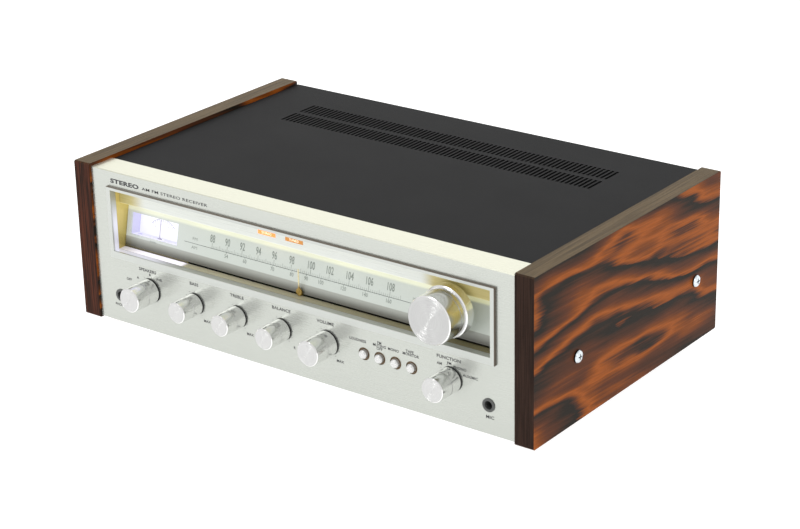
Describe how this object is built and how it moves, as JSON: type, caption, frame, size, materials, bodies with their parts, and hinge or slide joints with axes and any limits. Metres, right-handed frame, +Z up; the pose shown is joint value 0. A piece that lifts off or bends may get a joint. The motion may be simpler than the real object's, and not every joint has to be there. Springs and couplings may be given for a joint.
{
  "type": "stereo receiver",
  "caption": "Silver-faced stereo receiver with wood side panels, lit tuning dial, sliding pointer, turning knobs, push buttons and black vented cover.",
  "frame": {"origin": "middle of the whole width and depth, on the resting plane of the feet", "axes": "+X to the right seen from in front, +Y to the rear, +Z up"},
  "size_m": [0.435, 0.2964, 0.142],
  "materials": {
    "panel_left": "rosewood veneer, satin",
    "panel_screws": "zinc plated",
    "faceplate": "brushed, satin anodised",
    "bezel": "silver",
    "dial_housing": "gold tinted",
    "dial_panel": "pale printed",
    "stereo_lens": "orange, lit",
    "dial_lamps": "clear lamps",
    "lamp_strip": "plated",
    "meter_body": "white",
    "meter_needle": "red-orange",
    "pointer": "gold",
    "pointer_rail": "bright",
    "tuning_knob": "polished, spun faces",
    "flywheel": "grey",
    "dial_drum": "ivory",
    "tuning_capacitor": "plain",
    "controls": "grey",
    "control_nuts": "plated",
    "button_loudness": "silver",
    "switch_block": "dark",
    "front_jacks": "dark grey",
    "subchassis": "zinc plated steel",
    "top_cover": "satin black",
    "rear_panel": "satin dark grey",
    "rear_terminals": "black",
    "antenna_bracket": "grey",
    "transformer": "varnished",
    "heatsink": "dark anodised",
    "circuit_boards": "board green",
    "feet": "black"
  },
  "bodies": {
    "cabinet": {"panel_left": "panel_left", "panel_right": "panel_left", "panel_screws": "panel_screws", "faceplate": "faceplate", "bezel": "bezel", "dial_housing": "dial_housing", "dial_panel": "dial_panel", "dial_header": "bezel", "stereo_lens": "stereo_lens", "tuned_lens": "stereo_lens", "dial_lamps": "dial_lamps", "lamp_strip": "lamp_strip", "meter_body": "meter_body", "meter_scale": "meter_body", "pointer_rail": "pointer_rail", "tuning_bracket": "lamp_strip", "tuning_capacitor": "tuning_capacitor", "pulley_studs": "lamp_strip", "controls": "controls", "control_nuts": "control_nuts", "switch_block": "switch_block", "front_jacks": "front_jacks", "subchassis": "subchassis", "chassis": "subchassis", "top_cover": "top_cover", "rear_panel": "rear_panel", "rca_jacks": "control_nuts", "rear_terminals": "rear_terminals", "ac_outlets": "rear_terminals", "antenna_bracket": "antenna_bracket", "transformer": "transformer", "filter_caps": "rear_terminals", "heatsink": "heatsink", "circuit_boards": "circuit_boards", "feet": "feet"},
    "tuning": {"tuning_knob": "tuning_knob", "tuning_shaft": "pointer_rail", "flywheel": "flywheel"},
    "dial_pointer": {"pointer": "pointer"},
    "drum": {"dial_drum": "dial_drum"},
    "left_pulley": {"pulley_left": "dial_drum"},
    "right_pulley": {"pulley_right": "dial_drum"},
    "needle": {"meter_needle": "meter_needle"},
    "antenna": {"am_antenna": "rear_terminals"},
    "speakers": {"speakers_knob": "tuning_knob", "speakers_shaft": "pointer_rail"},
    "bass": {"bass_knob": "tuning_knob", "bass_shaft": "pointer_rail"},
    "treble": {"treble_knob": "tuning_knob", "treble_shaft": "pointer_rail"},
    "balance": {"balance_knob": "tuning_knob", "balance_shaft": "pointer_rail"},
    "volume": {"volume_knob": "tuning_knob", "volume_shaft": "pointer_rail"},
    "function": {"function_knob": "tuning_knob", "function_shaft": "pointer_rail"},
    "loudness": {"button_loudness": "button_loudness"},
    "muting": {"button_muting": "button_loudness"},
    "mono": {"button_mono": "button_loudness"},
    "tape": {"button_tape": "button_loudness"}
  },
  "joints": [
    {"name": "tuning_turn", "type": "hinge", "parent": "cabinet", "child": "tuning", "pos_m": [0.141, -0.1258, 0.0995], "axis": [0, 1, 0], "range_deg": [-1660, 1660]},
    {"name": "pointer_slide", "type": "slide", "parent": "cabinet", "child": "dial_pointer", "axis": [1, 0, 0], "range_m": [-0.09, 0.09]},
    {"name": "drum_turn", "type": "hinge", "parent": "cabinet", "child": "drum", "pos_m": [0.07, -0.0898, 0.094], "axis": [0, 1, 0], "range_deg": [-181, 181]},
    {"name": "left_pulley_turn", "type": "hinge", "parent": "cabinet", "child": "left_pulley", "pos_m": [-0.112, -0.0998, 0.077], "axis": [0, 1, 0], "range_deg": [-1000, 1000]},
    {"name": "right_pulley_turn", "type": "hinge", "parent": "cabinet", "child": "right_pulley", "pos_m": [0.168, -0.0998, 0.077], "axis": [0, 1, 0], "range_deg": [-1000, 1000]},
    {"name": "needle_swing", "type": "hinge", "parent": "cabinet", "child": "needle", "pos_m": [-0.1496, -0.10348, 0.08128], "axis": [0, 0.9781, -0.2079], "range_deg": [-32, 32]},
    {"name": "antenna_swing", "type": "hinge", "parent": "cabinet", "child": "antenna", "pos_m": [-0.1, 0.1412, 0.106], "axis": [0, 0, 1], "range_deg": [0, 80]},
    {"name": "speakers_turn", "type": "hinge", "parent": "cabinet", "child": "speakers", "pos_m": [-0.144, -0.1258, 0.0473], "axis": [0, 1, 0], "range_deg": [-50, 90]},
    {"name": "bass_turn", "type": "hinge", "parent": "cabinet", "child": "bass", "pos_m": [-0.0976, -0.1258, 0.0473], "axis": [0, 1, 0], "range_deg": [-140, 140]},
    {"name": "treble_turn", "type": "hinge", "parent": "cabinet", "child": "treble", "pos_m": [-0.05435, -0.1258, 0.0473], "axis": [0, 1, 0], "range_deg": [-140, 140]},
    {"name": "balance_turn", "type": "hinge", "parent": "cabinet", "child": "balance", "pos_m": [-0.0111, -0.1258, 0.0473], "axis": [0, 1, 0], "range_deg": [-140, 140]},
    {"name": "volume_turn", "type": "hinge", "parent": "cabinet", "child": "volume", "pos_m": [0.03215, -0.1258, 0.0473], "axis": [0, 1, 0], "range_deg": [-90, 190]},
    {"name": "function_turn", "type": "hinge", "parent": "cabinet", "child": "function", "pos_m": [0.1434, -0.1258, 0.0473], "axis": [0, 1, 0], "range_deg": [-50, 50]},
    {"name": "loudness_press", "type": "slide", "parent": "cabinet", "child": "loudness", "axis": [0, 1, 0], "range_m": [0, 0.0032], "stiffness_N_per_m": 300, "springref_m": -0.002},
    {"name": "muting_press", "type": "slide", "parent": "cabinet", "child": "muting", "axis": [0, 1, 0], "range_m": [0, 0.0032], "stiffness_N_per_m": 300, "springref_m": -0.002},
    {"name": "mono_press", "type": "slide", "parent": "cabinet", "child": "mono", "axis": [0, 1, 0], "range_m": [0, 0.0032], "stiffness_N_per_m": 300, "springref_m": -0.002},
    {"name": "tape_press", "type": "slide", "parent": "cabinet", "child": "tape", "axis": [0, 1, 0], "range_m": [0, 0.0032], "stiffness_N_per_m": 300, "springref_m": -0.002}
  ],
  "couplings": [
    {"joint": "pointer_slide", "follows": "tuning_turn", "m_per_rad": 0.003},
    {"joint": "drum_turn", "follows": "tuning_turn", "ratio": 0.1083},
    {"joint": "left_pulley_turn", "follows": "tuning_turn", "ratio": 0.58},
    {"joint": "right_pulley_turn", "follows": "tuning_turn", "ratio": 0.58}
  ]
}
